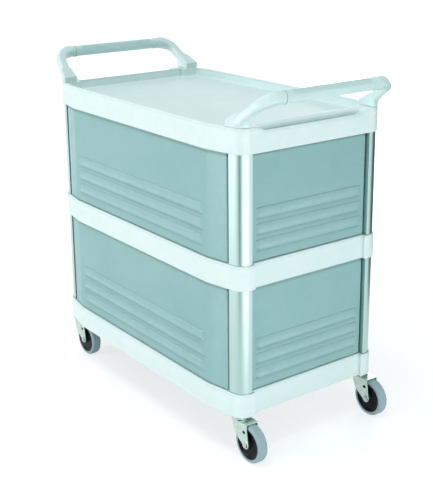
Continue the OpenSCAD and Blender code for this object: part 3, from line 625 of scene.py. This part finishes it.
def misfit_corners(mesh, surface, corners, radius, fold_area):
    """Corners of the CAD part at which a bevel flew off the surface or folded a large face."""
    off = {v.index for v in mesh.vertices
           if surface.find_nearest(v.co)[3] > OFF_SHARE * radius}
    beside = {i for face in folded_faces(mesh, surface)
              if face.area > fold_area for i in face.vertices}
    for edge in mesh.edges:
        if (edge.vertices[0] in off) != (edge.vertices[1] in off):
            beside.add(edge.vertices[1] if edge.vertices[0] in off else edge.vertices[0])
    found = [corners.find(mesh.vertices[i].co) for i in beside]
    return {index for place, index, gap in found if gap < BESIDE_SHARE * radius}


def without_folds(mesh, surface):
    """Takes away the small turned faces, which lie double on their neighbours."""
    turned = [face.index for face in folded_faces(mesh, surface)]
    cleaned = bmesh.new()
    cleaned.from_mesh(mesh)
    cleaned.faces.ensure_lookup_table()
    bmesh.ops.delete(cleaned, geom=[cleaned.faces[i] for i in turned], context="FACES")
    cleaned.to_mesh(mesh)
    cleaned.free()
    return len(turned)


# %% Finished pieces
def finish_piece(name, mesh, slot, body, *stands_for):
    """Puts a mesh in the scene as a piece that rides on a body in place of CAD parts."""
    made = mesh_object(name, mesh)
    mesh.materials.clear()
    mesh.materials.append(FINISHES[slot])
    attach(made, body)
    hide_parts(*stands_for)
    return made


def with_modifiers(mesh, name, *steps):
    """Runs modifiers on a mesh and returns the finished mesh."""
    temp = mesh_object(name + "_making", mesh)
    for kind, values in steps:
        modifier = temp.modifiers.new(kind, kind)
        for label, value in values.items():
            setattr(modifier, label, value)
    shaped = temp.evaluated_get(bpy.context.evaluated_depsgraph_get())
    done = bpy.data.meshes.new_from_object(shaped)
    done.name = name
    bpy.data.objects.remove(temp)
    return done


# %% Copies with soft edges
ATTEMPTS = 7
SHARP_ANGLE = math.radians(32)


def nearest_of(corner_points):
    """A tree that finds the nearest of some points, given as {index: place}."""
    made = KDTree(len(corner_points))
    for i, place in corner_points.items():
        made.insert(place, i)
    made.balance()
    return made


def soft_copy(node, radius_mm, slot, body="cart", degrees=35, seen_from=(),
              rounds=2, fold_area=5e-6):
    """A copy of a CAD part whose sharp edges are rounded, in its place."""
    made, surface = welded(node)
    weight = made.edges.layers.float.new("bevel_weight_edge")
    made.verts.index_update()
    picked = corner_edges(made, degrees, surface, seen_from)
    ends = {vertex.index: vertex.co for edge in picked for vertex in edge.verts}
    corners = nearest_of(dict(sorted(ends.items())))
    radius = radius_mm * MM
    bevel = {"width": radius, "segments": rounds, "limit_method": "WEIGHT",
             "use_clamp_overlap": False, "loop_slide": False}
    left_sharp = set()
    for attempt in range(ATTEMPTS):
        for edge in picked:
            stays = left_sharp & {vertex.index for vertex in edge.verts}
            edge[weight] = 0.0 if stays else 1.0
        mesh = bpy.data.meshes.new(node + "_soft")
        made.to_mesh(mesh)
        mesh.shade_smooth()
        rounded = with_modifiers(mesh, node + "_round", ("BEVEL", bevel))
        wrong = misfit_corners(rounded, surface, corners, radius, fold_area)
        if not wrong - left_sharp:
            break
        left_sharp |= wrong
    soft = sum(1 for edge in picked if edge[weight] > 0)
    made.free()
    turned = without_folds(rounded, surface)
    rounded.set_sharp_from_angle(angle=SHARP_ANGLE)
    done = with_modifiers(rounded, node + "_soft",
                          ("WEIGHTED_NORMAL", {"keep_sharp": True, "weight": 60}))
    print(node, "soft edges:", soft, "of", len(picked), "faces:", len(done.polygons),
          "folds:", turned)
    return finish_piece(node + "_soft", done, slot, body, node)


# %% [markdown]
# ## What repeats: Geometry Nodes
# Screws, balls and the fluted grips all follow a rule: one shape on many places,
# or one section along a line. A Geometry Nodes tree holds such a rule with its
# sizes as named inputs, so one tree serves every place. Each result is turned
# into a plain mesh, because the export keeps no instances.

# %% Helpers for geometry trees
KINDS = {"length": "NodeSocketFloat", "count": "NodeSocketInt"}


def growing_tree(name, inputs):
    """A geometry tree with inputs {label: (kind, value)}, a Geometry and a Material input."""
    made = bpy.data.node_groups.new(name, "GeometryNodeTree")
    socket = made.interface.new_socket
    socket(name="Geometry", in_out="INPUT", socket_type="NodeSocketGeometry")
    for label, (kind, value) in inputs.items():
        socket(name=label, in_out="INPUT", socket_type=KINDS[kind]).default_value = value
    socket(name="Material", in_out="INPUT", socket_type="NodeSocketMaterial")
    socket(name="Geometry", in_out="OUTPUT", socket_type="NodeSocketGeometry")
    return made, made.nodes.new("NodeGroupInput").outputs, made.nodes.new("NodeGroupOutput").inputs


def close_tree(tree, given, result, shape, smooth=True):
    """Realizes the shape, shades it and gives it the material."""
    whole = step(tree, "GeometryNodeRealizeInstances", {"Geometry": shape}).outputs[0]
    whole = step(tree, "GeometryNodeSetShadeSmooth", {
        "Geometry": whole, "Shade Smooth": smooth}).outputs[0]
    painted = step(tree, "GeometryNodeSetMaterial", {
        "Geometry": whole, "Material": given["Material"]})
    tree.links.new(painted.outputs[0], result["Geometry"])


def grow(name, tree, slot, values=(), start=None):
    """Runs a tree on a mesh with the given input values and returns the plain mesh."""
    base = mesh_object(name + "_growing", start or bpy.data.meshes.new(name + "_start"))
    grower = base.modifiers.new(name, "NODES")
    grower.node_group = tree
    wanted = dict(values, Material=FINISHES[slot])
    for item in tree.interface.items_tree:
        if item.in_out == "INPUT" and item.name in wanted:
            grower[item.identifier] = wanted[item.name]
    shaped = base.evaluated_get(bpy.context.evaluated_depsgraph_get())
    done = bpy.data.meshes.new_from_object(shaped)
    base.modifiers.remove(grower)
    bpy.data.objects.remove(base)
    done.name = name
    return done


def moved(tree, shape, **offset):
    """A shape moved by X, Y or Z."""
    by = step(tree, "ShaderNodeCombineXYZ", offset).outputs[0]
    return step(tree, "GeometryNodeTransform", {"Geometry": shape, "Translation": by}).outputs[0]


# %% [markdown]
# ## Screws
# Round-headed screws with a cross recess hold the uprights in the shelves and
# the handles on the top shelf. The CAD groups say where each one sits; the tree
# makes one screw, cuts its recess and sets it on every place, head outwards.

# %% Screw tree: a domed head
DOME_CURVE, DOME_TAPER = 2.4, 0.30
screw, given, result = growing_tree("cross_screw", {
    "Head": ("length", 0.010), "Head height": ("length", 0.003), "Shank": ("length", 0.005),
    "Length": ("length", 0.02), "Turns": ("count", 24)})
plus, minus, times, over = maths(screw)
head = step(screw, "GeometryNodeMeshCylinder", {
    "Vertices": given["Turns"], "Side Segments": 4, "Radius": times(given["Head"], 0.5),
    "Depth": given["Head height"]}).outputs["Mesh"]
spot = step(screw, "GeometryNodeInputPosition").outputs[0]
axes = step(screw, "ShaderNodeSeparateXYZ", {"Vector": spot}).outputs
rise = plus(over(axes["Z"], given["Head height"]), 0.5)
shrink = minus(1.0, times(calc(screw, "POWER", rise, DOME_CURVE), DOME_TAPER))
domed = step(screw, "ShaderNodeCombineXYZ", {
    "X": times(axes["X"], shrink), "Y": times(axes["Y"], shrink),
    "Z": plus(axes["Z"], times(given["Head height"], 0.5))}).outputs[0]
head = step(screw, "GeometryNodeSetPosition", {"Geometry": head, "Position": domed}).outputs[0]

# %% Screw tree: the cross recess
RECESS_LONG, RECESS_WIDE = 0.50, 0.12
cut_head = step(screw, "GeometryNodeMeshBoolean", {"Mesh 1": head}, operation="DIFFERENCE")
for long_way, thin_way in (("X", "Y"), ("Y", "X")):
    bar = step(screw, "ShaderNodeCombineXYZ", {
        long_way: times(given["Head"], RECESS_LONG), thin_way: times(given["Head"], RECESS_WIDE),
        "Z": given["Head height"]}).outputs[0]
    cube = step(screw, "GeometryNodeMeshCube", {"Size": bar}).outputs["Mesh"]
    screw.links.new(moved(screw, cube, Z=given["Head height"]), cut_head.inputs["Mesh 2"])

# %% Screw tree: the shank, and a screw on every place
SHANK_SIDES, OVERLAP = 16, 0.2
shank = step(screw, "GeometryNodeMeshCylinder", {
    "Vertices": SHANK_SIDES, "Radius": times(given["Shank"], 0.5),
    "Depth": given["Length"]}).outputs["Mesh"]
low = plus(times(given["Length"], -0.5), times(given["Head height"], OVERLAP))
whole = step(screw, "GeometryNodeMeshBoolean", operation="UNION")
for piece in (moved(screw, shank, Z=low), cut_head.outputs["Mesh"]):
    screw.links.new(piece, whole.inputs["Mesh 2"])
outwards = step(screw, "GeometryNodeInputNamedAttribute", {"Name": "way"},
                data_type="FLOAT_VECTOR").outputs[0]
turned = step(screw, "FunctionNodeAlignRotationToVector", {"Vector": outwards}, axis="Z").outputs[0]
placed = step(screw, "GeometryNodeInstanceOnPoints", {
    "Points": given["Geometry"], "Instance": whole.outputs["Mesh"], "Rotation": turned}).outputs[0]
close_tree(screw, given, result, placed, smooth=False)
print("nodes in the screw tree:", len(screw.nodes))

# %% Where the CAD groups hold their screws
AT_END = 0.2 * MM


def loose_parts(node):
    """The separate solids of a CAD node, each as a list of its points."""
    made = welded(node)[0]
    made.verts.index_update()
    seen = [False] * len(made.verts)
    parts = []
    for first in made.verts:
        if seen[first.index]:
            continue
        seen[first.index] = True
        part = [first]
        for vertex in part:
            for edge in vertex.link_edges:
                other = edge.other_vert(vertex)
                if not seen[other.index]:
                    seen[other.index] = True
                    part.append(other)
        parts.append([vertex.co.copy() for vertex in part])
    made.free()
    return parts


def screw_place(points, head_height):
    """The seat of a screw's head, the way the head points, and the length below the seat."""
    low = Vector([min(p[i] for p in points) for i in range(3)])
    high = Vector([max(p[i] for p in points) for i in range(3)])
    along = max(range(3), key=lambda i: high[i] - low[i])
    middle = (low + high) / 2

    def reach(end):
        near = [p - middle for p in points if abs(p[along] - end) < AT_END]
        return max(sum(p[i] ** 2 for i in range(3) if i != along) for p in near)

    sign = 1 if reach(high[along]) > reach(low[along]) else -1
    way = Vector([sign if i == along else 0 for i in range(3)])
    top = middle + way * (high[along] - low[along]) / 2
    return top - way * head_height, way, high[along] - low[along] - head_height


# %% Screws on their places
HEAD_HEIGHT = 3.0 * MM
TIP_ROOM = 0.2 * MM
for group in ("upright_screws", "handle_screws"):
    spots, ways, lengths = zip(*(screw_place(points, HEAD_HEIGHT)
                                 for points in loose_parts(group)))
    seats = bpy.data.meshes.new(group + "_seats")
    seats.from_pydata(spots, [], [])
    kept_ways = seats.attributes.new("way", "FLOAT_VECTOR", "POINT")
    for i, way in enumerate(ways):
        kept_ways.data[i].vector = way
    grown = grow(group + "_crossed", screw, "screw_steel", {"Length": lengths[0] - TIP_ROOM}, seats)
    print(group, "screws:", len(spots), "faces:", len(grown.polygons),
          "length in mm:", round(lengths[0] / MM, 1))
    finish_piece(group + "_crossed", grown, "screw_steel", "cart", group)

# %% [markdown]
# ## Balls of the swivels
# Each caster turns on a ring of steel balls. The tree puts one small ball on
# every corner of a circle; its sizes come from the CAD part's own box.

# %% Ball rings
ball_ring, given, result = growing_tree("ball_ring", {
    "Balls": ("count", 14), "Ring radius": ("length", 0.017), "Ball radius": ("length", 0.0024)})
circle = step(ball_ring, "GeometryNodeMeshCircle", {
    "Vertices": given["Balls"], "Radius": given["Ring radius"]}).outputs[0]
ball = step(ball_ring, "GeometryNodeMeshIcoSphere", {
    "Radius": given["Ball radius"], "Subdivisions": 4}).outputs["Mesh"]
spots = step(ball_ring, "GeometryNodeInstanceOnPoints", {
    "Points": circle, "Instance": ball}).outputs[0]
close_tree(ball_ring, given, result, spots)
for corner in CORNERS:
    node = "caster_%s_balls" % corner
    low, high = (Vector(v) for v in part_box(node))
    ball_radius = (high.z - low.z) / 2
    ring = grow(node + "_ring", ball_ring, "ball_steel", {
        "Balls": len(loose_parts(node)), "Ring radius": (high.x - low.x) / 2 - ball_radius,
        "Ball radius": ball_radius})
    ring.transform(Matrix.Translation((low + high) / 2))
    finish_piece(node + "_ring", ring, "ball_steel", "cart", node)
print("ball radius in mm:", round(ball_radius / MM, 2))

# %% [markdown]
# ## Shelves
# Each shelf is one moulding with a tray on top and ribs below. The edges a hand
# meets are rounded: the band's two long edges, the tray's rim, the corner
# plateaus and the finger grooves. The ribs stay crisp, as nobody sees them.

# %% Shelves
ABOVE_AND_AROUND = [(0, 0, 1), (1, 0, 0), (-1, 0, 0), (0, 1, 0), (0, -1, 0)]
for shelf in ("top_shelf", "middle_shelf", "bottom_shelf"):
    soft_copy(shelf, 2.2, "shelf_foam", seen_from=ABOVE_AND_AROUND, rounds=3, fold_area=60e-6)

# %% [markdown]
# ## Panels
# The panels are thin and blow-moulded, with crisper edges than the shelves. A
# small radius keeps the ledge of each bead clear.

# %% Panels
for side in ("front", "right", "left"):
    for row in ("upper", "lower"):
        soft_copy("%s_panel_%s" % (side, row), 0.7, "panel_plastic", degrees=38)

# %% [markdown]
# ## Uprights
# An upright is a drawn profile: its long edges are broken only slightly, and its
# curved face stays one smooth sweep that mirrors the lamps and cards.

# %% Uprights
for corner in CORNERS:
    soft_copy("upright_" + corner, 0.4, "upright_aluminium", degrees=45)

# %% [markdown]
# ## Handles
# The frame of a handle is one moulding whose arms flow out of their base
# blocks. The CAD solid has the right form in flat faces. A fine remesh and a few
# rounds of smoothing turn it into the continuous surface of the real one.

# %% Handles
HANDLE_CELL = 1.3 * MM
SMOOTHING = {"factor": 0.5, "iterations": 9}
for side in ("right", "left"):
    rough = welded("handle_" + side)[0]
    mesh = bpy.data.meshes.new("handle_rough")
    rough.to_mesh(mesh)
    rough.free()
    name = "handle_%s_smooth" % side
    done = with_modifiers(
        mesh, name,
        ("REMESH", {"mode": "VOXEL", "voxel_size": HANDLE_CELL, "use_smooth_shade": True}),
        ("SMOOTH", SMOOTHING))
    done.shade_smooth()
    print("handle", side, "faces:", len(done.polygons))
    finish_piece(name, done, "handle_plastic", "cart", "handle_" + side)

# %% [markdown]
# ## Grips
# A grip is a soft sleeve on the handle: an upright oval with fine flutes along
# its upper half, a raised collar at each end and a few rings cut beside the
# collar. It is one section run along a line, so the tree bends a flat grid into
# it: the grid's one side goes round the oval, and the other along the axis.

# %% Grip tree: round the oval and along the axis
FULL_TURN = 2 * math.pi
GRID_AROUND, GRID_ALONG = 265, 181
SIDE_STEEPNESS = 50.0
grip, given, result = growing_tree("fluted_grip", {
    "Half length": ("length", 0.11), "Width": ("length", 0.029), "Height": ("length", 0.0335),
    "Skin": ("length", 0.0008), "Flutes": ("count", 11), "Flute depth": ("length", 0.0011),
    "Collar": ("length", 0.006), "Collar rise": ("length", 0.0006), "Rings": ("count", 4),
    "Ring pitch": ("length", 0.0028), "Ring depth": ("length", 0.0006)})
plus, minus, times, over = maths(grip)
flat = step(grip, "GeometryNodeMeshGrid", {
    "Size X": 1.0, "Size Y": 1.0, "Vertices X": GRID_AROUND,
    "Vertices Y": GRID_ALONG}).outputs["Mesh"]
spot = step(grip, "GeometryNodeInputPosition").outputs[0]
axes = step(grip, "ShaderNodeSeparateXYZ", {"Vector": spot}).outputs
angle = times(plus(axes["X"], 0.5), FULL_TURN)
level_way, up_way = calc(grip, "COSINE", angle), calc(grip, "SINE", angle)
along = calc(grip, "SINE", times(axes["Y"], math.pi))
to_end = times(minus(1.0, calc(grip, "ABSOLUTE", along)), given["Half length"])
half_side = times(minus(given["Height"], given["Width"]), 0.5)
side_sign = calc(grip, "MAXIMUM", times(up_way, SIDE_STEEPNESS), -1.0)
side_sign = calc(grip, "MINIMUM", side_sign, 1.0)

# %% Grip tree: flutes, collars and rings
FLUTE_FADE = 3 * MM
COLLAR_STEP = 0.5 * MM
FLUTES_FROM, FLUTES_FULL = 0.28, 0.34
wave = calc(grip, "COSINE", times(times(given["Flutes"], 2.0), angle))
flute = calc(grip, "MAXIMUM", times(wave, -1.0), 0.0)
flute = times(flute, spread(grip, up_way, FLUTES_FROM, FLUTES_FULL))
past_rings = plus(given["Collar"], times(given["Ring pitch"], plus(given["Rings"], 1.0)))
flute = times(flute, times(minus(to_end, past_rings), 1 / FLUTE_FADE, clamp=True))
on_collar = times(minus(given["Collar"], to_end), 1 / COLLAR_STEP, clamp=True)
ring_wave = calc(grip, "COSINE", times(
    over(minus(to_end, given["Collar"]), given["Ring pitch"]), FULL_TURN))
ring_wave = calc(grip, "MAXIMUM", ring_wave, 0.0)
rings_end = plus(given["Collar"], times(given["Ring pitch"], plus(given["Rings"], 0.25)))
in_rings = times(calc(grip, "GREATER_THAN", to_end, given["Collar"]),
                 calc(grip, "LESS_THAN", to_end, rings_end))
inwards = plus(given["Skin"], times(flute, given["Flute depth"]))
inwards = plus(inwards, times(times(ring_wave, in_rings), given["Ring depth"]))
inwards = minus(inwards, times(on_collar, plus(given["Skin"], given["Collar rise"])))

# %% Grip tree: bend the grid
SEAM_GAP = 0.002 * MM
radius = minus(times(given["Width"], 0.5), inwards)
bent = step(grip, "ShaderNodeCombineXYZ", {
    "X": times(level_way, radius), "Y": times(along, given["Half length"]),
    "Z": plus(times(up_way, radius), times(side_sign, half_side))}).outputs[0]
sleeve = step(grip, "GeometryNodeSetPosition", {"Geometry": flat, "Position": bent}).outputs[0]
sleeve = step(grip, "GeometryNodeMergeByDistance", {
    "Geometry": sleeve, "Distance": SEAM_GAP}).outputs[0]
close_tree(grip, given, result, sleeve)
print("nodes in the grip tree:", len(grip.nodes))

# %% Grips
COLLAR_RISE = 0.6 * MM
GRIP_WALL = 2.6 * MM
for side in ("right", "left"):
    low, high = (Vector(v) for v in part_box("grip_" + side))
    size = high - low
    skin = grow("grip_skin", grip, "grip_plastic", {
        "Half length": size.y / 2, "Width": size.x - 2 * COLLAR_RISE,
        "Height": size.z - 2 * COLLAR_RISE, "Collar rise": COLLAR_RISE})
    facing = bmesh.new()
    facing.from_mesh(skin)
    bmesh.ops.recalc_face_normals(facing, faces=facing.faces)
    facing.to_mesh(skin)
    facing.free()
    name = "grip_%s_fluted" % side
    sleeve = with_modifiers(skin, name, (
        "SOLIDIFY", {"thickness": GRIP_WALL, "offset": -1.0, "use_even_offset": False}))
    sleeve.transform(Matrix.Translation((low + high) / 2))
    sleeve.set_sharp_from_angle(angle=math.radians(50))
    print("grip", side, "faces:", len(sleeve.polygons))
    finish_piece(name, sleeve, "grip_plastic", "cart", "grip_" + side)

# %% [markdown]
# ## Casters
# A caster is a pressed steel fork that swivels, and a wheel that spins in it.
# Pressed steel has rolled edges and rubber has soft shoulders, so every visible
# part gets its own small radius. The fork carries the axle and the nut; hub and
# tyre turn together.

# %% Casters
# part, radius in mm, slot, body that it rides on, least bend in degrees
CASTER_PARTS = [
    ("fork", 0.45, "fork_zinc", "fork_", 40), ("wheel", 0.5, "hub_plastic", "wheel_", 30),
    ("tyre", 0.6, "tyre_rubber", "wheel_", 50), ("axle", 0.5, "axle_steel", "fork_", 40),
    ("nut", 0.4, "axle_steel", "fork_", 40), ("race", 0.4, "race_zinc", None, 40),
]
for corner in CORNERS:
    for part, radius_mm, slot, carrier, degrees in CASTER_PARTS:
        body = carrier + corner if carrier else "cart"
        soft_copy("caster_%s_%s" % (corner, part), radius_mm, slot, body=body,
                  degrees=degrees)

# %% [markdown]
# ## Parts that keep their CAD shape
# Stems and bearing sleeves are plain turned steel, hidden inside the casters.
# Their CAD shape is already the real one, so they only get their finish.

# %% Parts that keep their CAD shape
KEPT = {"stem": "stem_steel", "sleeve": "axle_steel"}
for corner in CORNERS:
    for part, slot in KEPT.items():
        materials = nodes["caster_%s_%s" % (corner, part)].data.materials
        materials.clear()
        materials.append(FINISHES[slot])
print("parts with the CAD shape:", len(KEPT) * len(CORNERS))

# %% [markdown]
# ## Size of the visual model
# The visual model must fill the same box as the CAD model; its size is printed here.

# %% Finish
low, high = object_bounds()
print("visual box in mm:", [round(v / MM, 1) for v in high - low])
